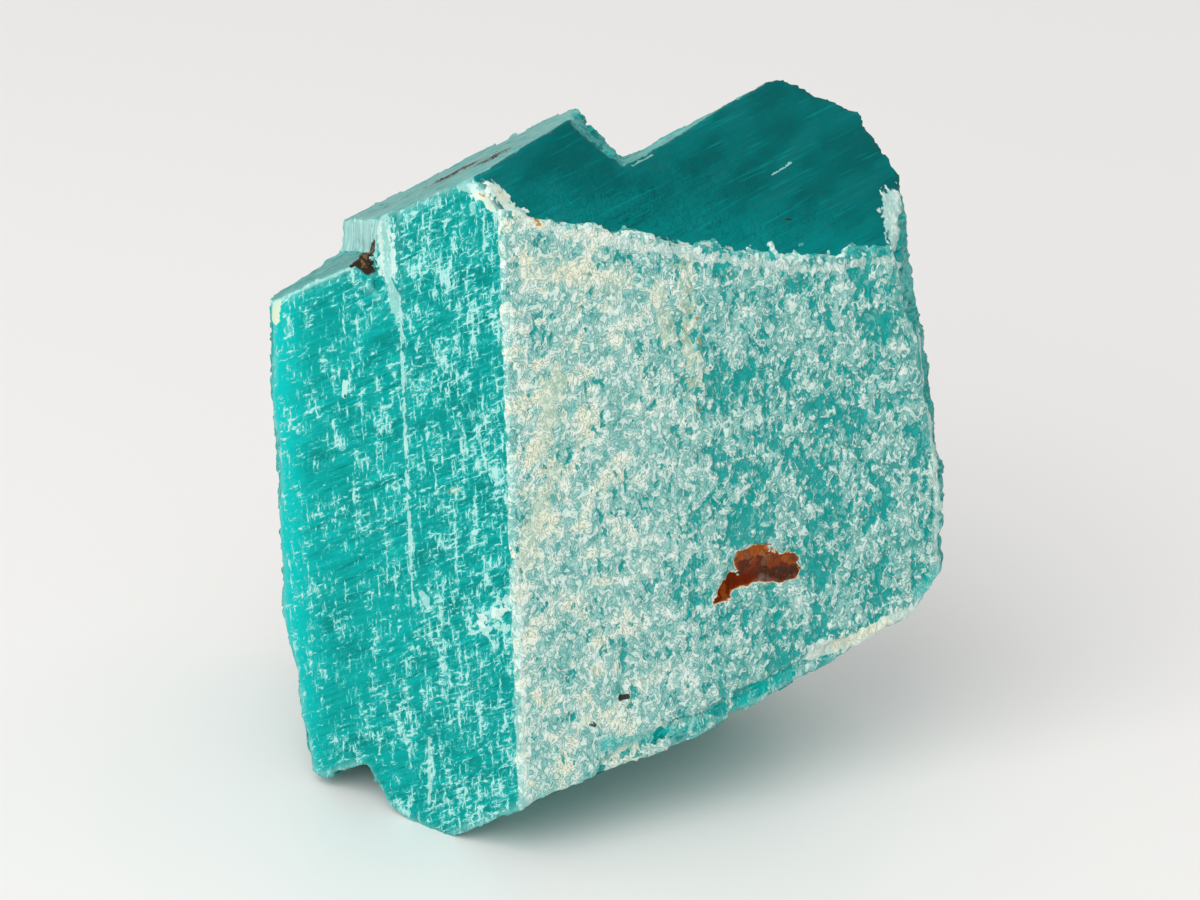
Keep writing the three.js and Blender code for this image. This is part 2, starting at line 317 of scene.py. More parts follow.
def fleck_cluster(wires, left):
    """Where the flecks of the left face gather: in upright strands, thicker towards the front edge."""
    along = wires.split(left)[0]
    strands = wires.noise(wires.stretched(left, 1.5, 0.4), 0.75, 2.0, 0.6)
    broad = wires.noise(left, 0.2, 1.0)
    level = wires.math("MULTIPLY_ADD", strands, 0.42, wires.math("MULTIPLY", broad, 0.2))
    return wires.math("ADD", level, wires.ramp(along, *FLECKS_ALONG, -0.03, 0.02))


def worn_level(wires, right):
    """How thin the crust is: thinner to the right, in broad patches and upright streaks."""
    along = wires.split(right)[0]
    streaks = wires.noise(wires.stretched(right, 0.9, 0.1), 0.55, 2.0)
    broad = wires.noise(wires.stretched(right, 1.2, 0.8), 0.32, 2.0)
    level = wires.math("MULTIPLY_ADD", streaks, 0.3, wires.math("MULTIPLY", broad, 0.76))
    return wires.math("ADD", level, wires.ramp(along, *WEAR_ALONG, -0.12, 0.0))


def worn_patches(wires, right, level):
    """The level with its small angular patches on it."""
    place = warped(wires, right, 1.4, 0.5)
    patches = wires.noise(wires.stretched(place, 2.1, 1.0), 0.8, 2.0, 0.7)
    return wires.math("ADD", patches, level)


# ---------------------------------------------------------------- settings


class StoneSettings(bpy.types.PropertyGroup):
    """The sizes of the relief."""

    grain: bpy.props.FloatProperty(
        name="Surface grain", description="Spacing of the points on the stone's surface",
        default=0.00029, min=0.0001, max=0.001, precision=5, subtype="DISTANCE", unit="LENGTH",
    )
    kept: bpy.props.FloatProperty(
        name="Share kept", description="Share of the surface that is kept where it is flat",
        default=0.66, min=0.1, max=1.0, subtype="FACTOR",
    )
    crust_relief: bpy.props.FloatProperty(
        name="Crust relief", description="Height of the lumps on the pale crust",
        default=0.00016, min=0, max=0.001, precision=5, subtype="DISTANCE", unit="LENGTH",
    )
    break_relief: bpy.props.FloatProperty(
        name="Break relief", description="Height of the cleavage steps on the broken sides",
        default=0.00045, min=0, max=0.001, precision=5, subtype="DISTANCE", unit="LENGTH",
    )
    face_relief: bpy.props.FloatProperty(
        name="Face relief", description="Height of the ribs on the left face",
        default=0.0001, min=0, max=0.001, precision=5, subtype="DISTANCE", unit="LENGTH",
    )
    top_relief: bpy.props.FloatProperty(
        name="Top relief", description="Height of the ripples on the smooth top face",
        default=0.00018, min=0, max=0.001, precision=5, subtype="DISTANCE", unit="LENGTH",
    )


def colour(name, description, value):
    """The setting of one colour."""
    return bpy.props.FloatVectorProperty(
        name=name, description=description, default=(*value, 1.0), size=4, min=0, max=1, subtype="COLOR"
    )


class ColourSettings(bpy.types.PropertyGroup):
    """The colours of the stone."""

    body: colour("Turquoise", "The clear feldspar of the body", (0.0, 0.305, 0.28))
    deep: colour("Deep teal", "The darker streaks of the body", (0.0, 0.18, 0.165))
    # On the thin left rim this colour is painted light, for the light shining through the stone there.
    bright: colour("Bright turquoise", "Thin edges that let light through", (0.0, 0.5, 0.465))
    top: colour("Top teal", "The smooth top face", (0.0, 0.136, 0.134))
    top_deep: colour("Top shade", "The darker patches of the top face", (0.0, 0.102, 0.1))
    top_bright: colour("Top light", "The lines and the lighter rim of the top face", (0.0, 0.25, 0.242))
    haze: colour("Haze", "The soft light fringe of the flecks", (0.03, 0.47, 0.44))
    # Along the step of the left face this colour also paints a highlight.
    albite: colour("Albite", "The white flecks", (0.45, 0.75, 0.7))
    crust: colour("Crust", "The ground of the pale crust", (0.29, 0.57, 0.52))
    crust_deep: colour("Thin crust", "The ground of the crust where it is thin", (0.055, 0.34, 0.315))
    ridge: colour("Crust ridges", "The curling ridges on the crust", (0.78, 0.87, 0.8))
    cream: colour("Cream", "The creamy patches of the crust", (0.8, 0.79, 0.57))
    worn: colour("Worn crust", "The turquoise where the crust is worn through", (0.0, 0.33, 0.305))
    terrace: colour("Terrace", "The pale grey cleavage terrace behind the left face", (0.21, 0.43, 0.4))
    ochre: colour("Ochre", "The tiny rusty specks in the crust", (0.5, 0.24, 0.04))
    rust: colour("Rust", "The iron stain in the hollow", (0.13, 0.016, 0.002))
    amber: colour("Amber", "The thin rim and the specks of iron stain", (0.38, 0.085, 0.006))
    brown: colour("Brown", "The dark pits and crumbs", (0.03, 0.018, 0.01))
    # Besides the crumbs, this colour paints the highlights on the glossy rust stain.
    crumb: colour("Crumb", "The lighter crumbs in the pocket", (0.25, 0.15, 0.07))


class StageSettings(bpy.types.PropertyGroup):
    """The studio."""

    lens: bpy.props.FloatProperty(
        name="Lens", description="Focal length on a full frame",
        default=150, min=20, max=400, unit="CAMERA",
    )
    key_power: bpy.props.FloatProperty(
        name="Key light", description="Power of the large soft light",
        default=4.8, min=0, max=100, unit="POWER",
    )
    fill: bpy.props.FloatProperty(
        name="Fill", description="Strength of the light from all round",
        default=0.66, min=0, max=5,
    )
    floor: colour("Floor", "The pale studio floor", (0.87, 0.85, 0.832))


# ---------------------------------------------------------------- the stone

# The levels between which the crust wears down to a hollow, and those between which it turns bare.
WORN_HOLLOW = (1.07, 1.12)
WORN_BARE = (1.1, 1.14)
# How fine the flecks of the left face are, and the level above which there is one.
FLECK_SIZE = 0.8
FLECK_LEVEL = 0.875

# Points closer than this, in millimetres, are one. Edges flatter than this, in degrees, are shaded smooth.
MERGE = 0.002
SMOOTH_BELOW = 38
# How far out of the smoothed surface an edge begins, and how far out it is sharp, in millimetres.
EDGE_PROUD = (0.02, 0.13)
# The relief fades in over this height, in millimetres, which keeps the small resting flat flat.
FADE_IN = 1.2
# The share of their relief that basal treads keep among the broken sides.
TREAD_SHARE = 0.3
# How many points the masks are blurred over, and how many the edges are found from.
MASK_BLUR = 3
EDGE_BLUR = 7


def select_only(piece):
    bpy.ops.object.select_all(action="DESELECT")
    piece.select_set(True)
    bpy.context.view_layer.objects.active = piece


def apply_modifier(piece, kind, name, **settings):
    made = piece.modifiers.new(name, kind)
    for key, value in settings.items():
        setattr(made, key, value)
    select_only(piece)
    bpy.ops.object.modifier_apply(modifier=made.name)


def facing(wires, normal, face, low, high):
    """How much a surface looks the way that a face does."""
    return wires.ramp(wires.vector("DOT_PRODUCT", normal, list(face[2])), low, high)


def relief_tree(settings):
    """The fine relief of every face, and the masks that its finish reads."""
    tree = bpy.data.node_groups.new("Stone relief", "GeometryNodeTree")
    tree.interface.new_socket("Geometry", in_out="INPUT", socket_type="NodeSocketGeometry")
    tree.interface.new_socket("Geometry", in_out="OUTPUT", socket_type="NodeSocketGeometry")
    patterns = pattern_groups("GeometryNodeTree")
    wires = Wires(tree)
    start = wires.node("NodeGroupInput")
    end = wires.node("NodeGroupOutput")

    position = wires.node("GeometryNodeInputPosition").outputs[0]
    normal = wires.node("GeometryNodeInputNormal").outputs[0]
    place = wires.vector("SUBTRACT", wires.vector("SCALE", position, scale=1 / MM), EDGE_FOOT)
    left = wires.on_face(place, LEFT)
    right = wires.on_face(place, RIGHT)
    basal = wires.on_face(place, BASAL)

    def blurred(value, kind, steps):
        data = {"VALUE": "FLOAT", "VECTOR": "FLOAT_VECTOR"}[kind]
        made = wires.node("GeometryNodeBlurAttribute", {"data_type": data}, Iterations=steps)
        wires.put(next(s for s in made.inputs if s.type == kind and s.enabled), value)
        return next(s for s in made.outputs if s.type == kind and s.enabled)

    masks = {}
    for name, face, low, high in (
        ("left_face", LEFT, 0.55, 0.85),
        ("right_face", RIGHT, 0.55, 0.85),
        ("top_face", TOP, 0.86, 0.95),
        ("basal_face", BASAL, 0.93, 0.98),
    ):
        masks[name] = blurred(facing(wires, normal, face, low, high), "VALUE", MASK_BLUR)
    smooth = blurred(position, "VECTOR", EDGE_BLUR)
    proud = wires.vector("DOT_PRODUCT", wires.vector("SUBTRACT", position, smooth), normal)
    masks["edge"] = wires.ramp(proud, *(MM * limit for limit in EDGE_PROUD))
    masks["cloud"] = wires.noise(wires.stretched(basal, 0.6, 0.6, 1.6), 0.28, 3.0, 0.55)
    masks["broad"] = wires.noise(right, 0.4, 2.0, 0.6)

    known = wires.math("MAXIMUM", masks["left_face"], masks["right_face"])
    known = wires.math("MAXIMUM", known, masks["top_face"])
    broken = wires.math("SUBTRACT", 1.0, known)

    # Crust: fine lumps, with hollows where it is worn through.
    lumps = wires.math("SUBTRACT", wires.noise(right, 1.5, 3.0, 0.65), 0.5)
    level = worn_level(wires, right)
    cluster = fleck_cluster(wires, left)
    masks["worn_level"] = level
    masks["cluster"] = cluster
    worn = wires.ramp(worn_patches(wires, right, level), *WORN_HOLLOW)
    crust = wires.math("SUBTRACT", wires.math("MULTIPLY", lumps, 2.0), wires.math("MULTIPLY", worn, 0.8))
    crust = wires.math("MULTIPLY", crust, settings.crust_relief)

    # Left face: faint ribs along the cleavage, and flecks that stand a little proud.
    ribs = place_group(wires, patterns["Cleavage lines"], Place=left, Size=0.9, Angle=math.radians(RIB_TURN))
    fleck = place_group(wires, patterns["Flecks"], Place=left, Size=FLECK_SIZE, Cluster=cluster,
                        Level=FLECK_LEVEL)["Mask"]
    face = wires.math("SUBTRACT", ribs["Light"], ribs["Dark"])
    face = wires.math("ADD", wires.math("MULTIPLY", face, 0.5), wires.math("MULTIPLY", fleck, 0.7))
    face = wires.math("MULTIPLY", face, settings.face_relief)

    # Top face: shallow ripples.
    ripple = wires.noise(wires.stretched(basal, 0.5, 1.6), 0.35, 3.0, 0.5)
    top = wires.math("MULTIPLY", wires.math("SUBTRACT", ripple, 0.5), settings.top_relief)

    # Broken sides: blocks bounded by the cleavages, and fine lumps on them.
    blocks = wires.blocks(wires.stretched(basal, 0.8, 0.8, 1.6), 0.45)[0]
    small = wires.blocks(wires.stretched(basal, 0.7, 0.9, 2.2), 1.1)[1]
    fine = wires.noise(place, 1.2, 3.0, 0.6)
    rough = wires.math("MULTIPLY_ADD", small, 0.5, wires.math("SUBTRACT", blocks, 0.75))
    rough = wires.math("MULTIPLY_ADD", wires.math("SUBTRACT", fine, 0.5), 0.6, rough)
    tread = wires.ramp(masks["basal_face"], 0.0, 1.0, 1.0, TREAD_SHARE)
    rough = wires.math("MULTIPLY", wires.math("MULTIPLY", rough, tread), settings.break_relief)

    height = wires.math("MULTIPLY", crust, masks["right_face"])
    height = wires.math("MULTIPLY_ADD", face, masks["left_face"], height)
    height = wires.math("MULTIPLY_ADD", top, masks["top_face"], height)
    height = wires.math("MULTIPLY_ADD", rough, broken, height)
    height = wires.math("MULTIPLY", height, wires.ramp(wires.split(place)[2], 0.0, FADE_IN))

    geometry = start.outputs[0]
    for name, mask in masks.items():
        store = wires.node("GeometryNodeStoreNamedAttribute", {"data_type": "FLOAT", "domain": "POINT"})
        wires.put(store.inputs["Geometry"], geometry)
        wires.put(store.inputs["Name"], name)
        wires.put(store.inputs["Value"], mask)
        geometry = store.outputs[0]
    moved = wires.node("GeometryNodeSetPosition", Geometry=geometry)
    wires.put(moved.inputs["Offset"], wires.vector("SCALE", normal, scale=height))
    wires.put(end.inputs[0], moved.outputs[0])
    return tree


class AMAZONITE_OT_stone(bpy.types.Operator):
    """Makes the stone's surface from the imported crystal"""

    bl_idname = "amazonite.stone"
    bl_label = "Stone"

    def execute(self, context):
        settings = context.scene.amazonite_stone
        crystal = frame["nodes"][CRYSTAL]
        select_only(crystal)
        bpy.ops.object.duplicate()
        stone = context.view_layer.objects.active
        stone.name = STONE
        stone.data.name = STONE
        stone.parent = None
        stone.matrix_world = Matrix.Identity(4)
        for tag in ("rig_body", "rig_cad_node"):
            del stone[tag]
        stone.data.materials.clear()

        bpy.ops.object.mode_set(mode="EDIT")
        bpy.ops.mesh.select_all(action="SELECT")
        bpy.ops.mesh.remove_doubles(threshold=MERGE * MM)
        bpy.ops.object.mode_set(mode="OBJECT")
        for layer in [a.name for a in stone.data.attributes if a.name.startswith("_")]:
            stone.data.attributes.remove(stone.data.attributes[layer])

        apply_modifier(stone, "REMESH", "Surface grain", mode="VOXEL", voxel_size=settings.grain)
        apply_modifier(stone, "NODES", "Relief", node_group=relief_tree(settings))
        apply_modifier(stone, "DECIMATE", "Spare faces", decimate_type="COLLAPSE", ratio=settings.kept)
        select_only(stone)
        bpy.ops.object.shade_smooth_by_angle(angle=math.radians(SMOOTH_BELOW))

        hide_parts(CRYSTAL)
        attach(stone, "root")
        return {"FINISHED"}


# ---------------------------------------------------------------- the finish

# Marks on the faces: where each starts and ends, how wide it is, how ragged, how strong, and its colour.
# Places are in millimetres from the foot of the front edge, along an upright face and up it, or across
# a dipping face and up its dip.
LEFT_MARKS = [
    # The first two marks are a painted highlight: the light caught by the step that runs up the left face.
    ((-10.35, 45.2), (-10.4, 32.7), 0.2, 0.9, 0.65, "albite"),
    ((-10.4, 32.7), (-10.25, 19.6), 0.17, 0.9, 0.65, "albite"),
    ((-9.3, 20.8), (-8.8, 20.0), 0.35, 1.2, 0.6, "albite"),
    ((-9.15, 8.3), (-9.4, 2.9), 0.22, 0.9, 0.6, "albite"),
    ((-4.8, 18.8), (-1.2, 20.5), 0.24, 2.2, 0.7, "albite"),
    ((-3.6, 20.2), (-0.9, 21.9), 0.34, 2.2, 0.65, "ridge"),
    ((-2.4, 22.0), (-0.4, 23.0), 0.18, 1.6, 0.7, "albite"),
    ((-3.0, 19.2), (-2.2, 18.4), 0.16, 0.9, 0.6, "albite"),
    ((-16.45, 35.6), (-16.25, 36.7), 0.3, 0.25, 0.9, "albite"),
    ((-23.2, 40.2), (-22.9, 41.4), 0.5, 0.6, 0.8, "cream"),
    ((-3.8, 55.9), (-2.0, 55.5), 0.65, 2.4, 0.6, "albite"),
    ((-2.7, 55.5), (-0.2, 54.7), 0.5, 2.2, 0.6, "ridge"),
    ((-2.2, 55.3), (-1.1, 54.8), 0.35, 2.0, 0.5, "cream"),
    ((-2.1, 55.5), (-1.9, 55.4), 0.13, 0.8, 0.95, "ochre"),
    ((-2.9, 54.2), (-2.8, 53.9), 0.3, 0.8, 0.5, "albite"),
    ((-16.35, 35.5), (-16.3, 35.6), 0.13, 0.2, 0.9, "brown"),
    ((-6.1, 30.5), (-5.1, 30.8), 0.3, 1.8, 0.3, "cream"),
    ((-6.3, 30.2), (-6.2, 30.3), 0.1, 0.3, 0.6, "ochre"),
]
RIGHT_MARKS = [
    ((2.6, 35.0), (3.8, 41.0), 1.0, 4.6, 0.4, "cream"),
    ((3.3, 33.0), (0.8, 26.0), 0.9, 4.6, 0.4, "cream"),
    ((14.3, 48.2), (14.6, 38.0), 0.6, 4.2, 0.4, "cream"),
    ((0.3, 6.0), (0.3, 26.0), 0.3, 1.5, 0.45, "ridge"),
    ((2.0, 49.5), (9.0, 47.5), 1.2, 4.0, 0.25, "cream"),
    ((12.0, 46.5), (12.8, 42.0), 0.7, 3.0, 0.35, "cream"),
    ((1.5, 53.4), (8.0, 50.9), 0.45, 2.4, 0.5, "ridge"),
    ((8.0, 50.9), (16.0, 48.1), 0.5, 2.4, 0.5, "ridge"),
    ((16.0, 48.1), (24.0, 45.7), 0.4, 2.4, 0.45, "ridge"),
    ((24.0, 45.6), (31.5, 45.2), 0.4, 2.4, 0.45, "ridge"),
    ((31.9, 46.0), (33.4, 41.0), 0.7, 1.6, 0.5, "ridge"),
    ((33.7, 40.5), (35.0, 27.5), 0.35, 1.2, 0.45, "ridge"),
    ((35.0, 27.5), (35.2, 19.5), 0.3, 1.2, 0.4, "ridge"),
    ((15.1, 43.4), (15.2, 43.2), 0.13, 0.6, 0.9, "ochre"),
    ((15.3, 41.6), (15.4, 41.2), 0.11, 0.6, 0.9, "ochre"),
    ((15.2, 35.9), (15.25, 35.7), 0.1, 0.6, 0.9, "ochre"),
    ((2.2, 53.0), (3.0, 53.0), 0.35, 2.0, 0.6, "cream"),
    ((2.55, 53.1), (2.75, 53.1), 0.16, 0.8, 0.95, "ochre"),
    ((8.35, 12.8), (8.9, 12.8), 0.28, 0.3, 0.95, "brown"),
    ((5.8, 11.1), (6.0, 10.9), 0.16, 0.3, 0.85, "brown"),
]
# The pale edge and the bare strips along the foot of the right face.
FOOT_MARKS = [
    ((24.8, 13.2), (29.2, 13.4), 0.9, 2.4, 0.7, "ridge"),
    ((28.6, 13.5), (32.4, 15.1), 0.75, 2.4, 0.7, "ridge"),
    ((26.5, 13.4), (30.5, 14.1), 0.6, 2.2, 0.55, "cream"),
    ((6.8, 9.0), (10.6, 8.8), 0.55, 1.8, 0.55, "bright"),
    ((12.2, 8.8), (15.3, 9.0), 0.45, 1.8, 0.5, "bright"),
    ((18.6, 9.9), (23.0, 11.9), 0.55, 2.2, 0.5, "bright"),
    ((33.6, 16.6), (35.2, 18.0), 0.55, 1.4, 0.6, "bright"),
]
# The rust stain: the straight runs that it is made of, each with its width, and how much wider
# each of its layers is than they are. The strokes after them are laid over it.
STAIN_PATH = [
    ((16.3, 19.45), (17.1, 19.6), 0.3),
    ((17.15, 19.95), (17.4, 20.5), 0.68),
    ((17.9, 20.8), (19.6, 21.1), 0.8),
    ((19.1, 22.2), (20.0, 22.2), 1.08),
    ((20.0, 21.6), (22.0, 21.1), 1.25),
    ((22.7, 21.5), (22.75, 20.5), 0.6),
]
STAIN_LAYERS = (("cream", 0.1), ("amber", 0.04), ("rust", -0.06))
STAIN = [
    ((18.5, 22.6), (20.6, 22.9), 0.5, 2.2, 0.85, "amber"),
    ((22.2, 21.8), (22.9, 21.3), 0.35, 1.6, 0.6, "amber"),
    ((17.2, 20.4), (17.1, 19.8), 0.35, 1.8, 0.5, "amber"),
    ((20.3, 21.1), (22.6, 20.5), 0.6, 2.6, 0.6, "brown"),
    # This stroke is a painted highlight: the glints on the glossy rust.
    ((19.2, 22.1), (20.9, 21.9), 0.4, 3.4, 0.45, "crumb"),
    ((18.2, 21.35), (18.35, 21.2), 0.2, 1.2, 0.9, "crust"),
]
# Where the stain is thick, and the band that the rusty specks of the crust keep to.
STAIN_INNER = [((18.9, 22.2), (22.4, 21.2), 1.1, 1.0, 1.0, "rust")]
SPECK_BAND = [((12.6, 45.0), (15.6, 34.5), 1.7, 2.0, 1.0, "ochre")]
# The brown patches of the highest terrace.
TERRACE_MARKS = [
    ((-10.8, 16.0), (-11.0, 17.8), 1.75, 6.0, 0.45, "crumb"),
    ((-10.8, 16.2), (-10.9, 17.6), 1.45, 5.0, 1.0, "brown"),
    ((-8.8, 21.7), (-8.6, 22.6), 1.45, 6.0, 0.45, "crumb"),
    ((-8.8, 21.8), (-8.7, 22.5), 1.2, 5.0, 1.0, "brown"),
]
# The pale end of the step on the left face, and the crumbs under it.
STEP_END = [
    ((-12.0, 50.7), (-11.9, 47.2), 1.2, 2.6, 0.6, "albite"),
    ((-11.8, 46.9), (-10.7, 44.0), 0.75, 2.6, 0.55, "albite"),
    ((-12.7, 50.5), (-12.6, 46.4), 0.35, 1.8, 0.5, "ridge"),
    ((-11.2, 50.3), (-11.0, 47.0), 0.3, 2.4, 0.5, "ridge"),
]
POCKET = [
    ((-14.0, 47.9), (-13.9, 46.6), 0.58, 0.9, 1.0, "brown"),
    ((-14.3, 47.1), (-15.4, 46.7), 0.4, 0.9, 1.0, "brown"),
    ((-14.6, 47.1), (-13.9, 46.7), 0.75, 0.9, 1.0, "brown"),
    ((-14.1, 47.5), (-14.2, 46.8), 0.25, 3.0, 0.5, "crumb"),
]
TOP_MARKS = [
    ((-0.3, 38.2), (0.6, 36.4), 0.75, 2.6, 0.35, "albite"),
    ((-0.2, 38.2), (0.2, 37.6), 0.4, 2.2, 0.6, "cream"),
    ((-0.05, 38.3), (0.0, 38.2), 0.12, 0.6, 0.9, "ochre"),
    ((23.2, 32.8), (25.4, 33.2), 0.07, 0.15, 0.6, "albite"),
    ((12.0, 37.0), (14.2, 37.3), 0.08, 0.3, 0.45, "albite"),
    ((22.2, 29.1), (22.7, 29.0), 0.1, 0.2, 0.8, "brown"),
]
# Where the crust spreads over the corners of the top face.
CORNERS = [
    ((32.1, 27.4), (30.6, 23.2), 1.4, 2.6, 1.0, "crust"),
    ((-0.3, 38.4), (0.9, 36.0), 0.8, 2.6, 1.0, "crust"),
]

# How far out of the plane of its face each of these begins, and how far out it is whole, in
# millimetres. Less than nought is behind the plane.
MARKS_FROM = (-1.0, -0.7)
FOOT_FROM = (-2.4, -2.0)
STEP_FROM = (-1.5, -1.2)
POCKET_FROM = (-2.8, -2.5)
STAIN_FROM = (-1.2, -0.9)
CRUST_FROM = (-0.42, -0.34)
TOP_FROM = (-0.38, -0.28)
RISER_FROM = (-0.4, -0.1)
# How far out along the basal axis the treads turn as pale as the terraces.
PALE_FROM = (47, 49)

# A mark wanders by up to half of this, and fades over this share of its width.
WANDER = 0.5
MARK_EDGE = 0.2
# The stain's layers are this ragged, and fade over this much.
STAIN_RAG = 0.8
STAIN_EDGE = 0.12

ROUGH_BODY = 0.4
ROUGH_TOP = 0.3
ROUGH_CRUST = 0.62
SPECULAR = 0.04
# The stain is a little glossy where it is thick.
STAIN_COAT = 0.3
STAIN_COAT_ROUGH = 0.12
# How far the ridges and furrows of the crust seem to stand out, in millimetres.
RIDGE_BUMP = 0.03


def attribute(wires, name):
    """A mask that the relief has left on the stone."""
    made = wires.node("ShaderNodeAttribute", {"attribute_type": "GEOMETRY", "attribute_name": name})
    return made.outputs["Fac"]


# The masks and levels that the relief leaves on the stone for its finish.
STONE_MASKS = (
    "left_face", "right_face", "top_face", "basal_face", "edge", "worn_level", "cluster", "cloud", "broad",
)


class Finish:
    """The one finish of the stone, put together face by face."""

    def __init__(self, wires, colours):
        self.wires = wires
        self.patterns = pattern_groups("ShaderNodeTree")
        self.colour = {name: tuple(getattr(colours, name)) for name in ColourSettings.__annotations__}
        place = wires.node("ShaderNodeTexCoord").outputs["Object"]
        self.place = wires.vector("SUBTRACT", wires.vector("SCALE", place, scale=1 / MM), EDGE_FOOT)
        self.left = wires.on_face(self.place, LEFT)
        self.right = wires.on_face(self.place, RIGHT)
        self.basal = wires.on_face(self.place, BASAL)
        self.top = wires.on_face(self.place, TOP)
        self.mask = {name: attribute(wires, name) for name in STONE_MASKS}
        along, _, depth = wires.split(self.right)
        sag = self.times(wires.ramp(along, *SAG_ALONG), wires.ramp(depth, *SAG_BEHIND), TOP_SAG)
        off = wires.math("ADD", wires.math("SUBTRACT", wires.split(self.top)[2], TOP_OUT), sag)
        self.mask["top_face"] = self.times(
            wires.ramp(off, *TOP_FROM), wires.ramp(self.mask["top_face"], 0.02, 0.2)
        )
        flat = wires.ramp(self.mask["basal_face"], 0.2, 0.5)
        self.mask["basal_face"] = wires.blend(flat, 0.0, self.mask["top_face"])
        self.worm = place_group(wires, self.patterns["Worms"], Place=self.right, Size=1.5, Turns=20.0)

    def over(self, under, name, share):
        """One of the stone's colours over what is there."""
        return self.wires.paint(under, self.colour[name], share)

    def times(self, *shares):
        """Several shares or masks multiplied."""
        made = shares[0]
        for share in shares[1:]:
            made = self.wires.math("MULTIPLY", made, share)
        return made

    def add(self, laid, name, mask):
        """A colour over what is laid on a face so far."""
        painted, cover = laid
        return self.over(painted, name, mask), self.wires.blend(cover, 1.0, mask)

    def away(self, place, start, end):
        """How far a place is from a stroke."""
        run = Vector((*end, 0)) - Vector((*start, 0))
        scaled = run / max(run.length_squared, 1e-4)
        return place_group(self.wires, self.patterns["Stroke"], Place=place, From=(*start, 0), Run=run,
                           Scaled=scaled)["Away"]

    def marks(self, marks, place, rag, path=()):
        """The marks of a face, over a stained path if there is one: their colour and their cover."""
        wires = self.wires
        push = wires.math("MULTIPLY_ADD", rag, WANDER, -WANDER / 2)
        place = wires.vector("ADD", wires.vector("MULTIPLY", place, (1, 1, 0)), wires.xyz(push, push))
        rag = wires.math("SUBTRACT", rag, 0.5)
        laid = (0, 0, 0, 1), 0.0
        if path:
            gaps = [wires.math("SUBTRACT", self.away(place, start, end), width)
                    for start, end, width in path]
            near = gaps[0]
            for gap in gaps[1:]:
                near = wires.math("MINIMUM", near, gap)
            near = wires.math("MULTIPLY_ADD", rag, STAIN_RAG, near)
            for name, wider in STAIN_LAYERS:
                laid = self.add(laid, name, wires.ramp(near, wider, wider - STAIN_EDGE))
        for start, end, width, ragged, strength, name in marks:
            away = wires.math("MULTIPLY_ADD", rag, ragged, self.away(place, start, end))
            laid = self.add(laid, name, wires.ramp(away, width, width * (1 - MARK_EDGE), 0.0, strength))
        return laid

    def lay(self, shade, marks, where):
        """A colour with the marks of a face over it."""
        painted, cover = marks
        shade = self.wires.paint(shade, (0, 0, 0, 1), self.times(cover, where))
        return self.wires.paint(shade, painted, where, "ADD")

    def tone(self, value, low, middle, high):
        """A colour from low through middle to high as a value goes from 0 to 1."""
        wires = self.wires
        lower = wires.paint(low, middle, wires.ramp(value, 0.0, 0.5))
        return wires.paint(lower, high, wires.ramp(value, 0.5, 1.0))

    def lines(self, place, size, turn):
        """Cleavage lines turned by some degrees on a face."""
        return place_group(self.wires, self.patterns["Cleavage lines"], Place=place, Size=size,
                           Angle=math.radians(turn))

    def body(self):
        """Turquoise with darker streaks, light cleavage lines and white flecks."""
        wires, mask = self.wires, self.mask
        cloud = mask["cloud"]
        along = wires.split(self.left)[0]
        broad = self.lines(self.left, 0.75, RIB_TURN)
        fine = self.lines(self.left, 2.2, FINE_RIB_TURN)
        shade = self.over(self.colour["body"], "deep", wires.ramp(cloud, 0.45, 0.7, 0.0, 0.8))
        shade = self.over(shade, "deep", self.times(broad["Dark"], 0.8))
        inner = wires.ramp(along, *DEEP_ALONG)
        shade = self.over(shade, "deep", self.times(inner, mask["left_face"], 0.3))
        lamellae = wires.noise(wires.stretched(self.basal, 0.2, 0.2, 2.4), 0.8, 2.0, 0.65)
        side = wires.ramp(mask["left_face"], 0.0, 1.0, 1.0, 0.3)
        shade = self.over(shade, "bright", self.times(wires.ramp(lamellae, 0.54, 0.64), side, 0.6))
        shade = self.over(shade, "deep", self.times(wires.ramp(lamellae, 0.45, 0.37), side, 0.7))
        blotch = self.times(wires.ramp(cloud, 0.47, 0.36), wires.ramp(lamellae, 0.4, 0.6),
                            wires.ramp(mask["left_face"], 0.0, 0.6, 0.5, 0.0))
        shade = self.over(shade, "terrace", blotch)
        # Painted light: the thin left rim is painted brighter turquoise for the light shining through the
        # stone.
        painted_glow = wires.ramp(along, *BRIGHT_ALONG)
        shade = self.over(shade, "bright", self.times(painted_glow, mask["left_face"], 0.95))
        shade = self.over(shade, "bright", self.times(broad["Light"], 0.35))
        shade = self.over(shade, "bright", self.times(fine["Light"], 0.7))
        fleck = place_group(wires, self.patterns["Flecks"], Place=self.left, Size=FLECK_SIZE,
                            Cluster=mask["cluster"], Level=FLECK_LEVEL)
        seen = self.times(wires.ramp(mask["left_face"], 0.0, 1.0, 0.35, 1.0),
                          wires.ramp(mask["top_face"], 0.0, 0.5, 1.0, 0.15))
        shade = self.over(shade, "haze", self.times(fleck["Haze"], seen, 0.78))
        return self.over(shade, "albite", self.times(fleck["Mask"], seen, 0.85))

    def smooth_top(self):
        """Dark, smooth teal, lighter towards the crust."""
        wires = self.wires
        lines = self.lines(self.top, 1.1, TOP_LINE_TURN)
        shade = self.over(self.colour["top"], "top_deep", wires.ramp(self.mask["cloud"], 0.42, 0.58))
        near = wires.ramp(wires.split(self.right)[2], *LIGHT_BEHIND)
        shade = self.over(shade, "top_bright", self.times(near, 0.5))
        shade = self.over(shade, "top_bright", self.times(lines["Light"], 0.5))
        return self.over(shade, "top_deep", self.times(lines["Dark"], 0.5))

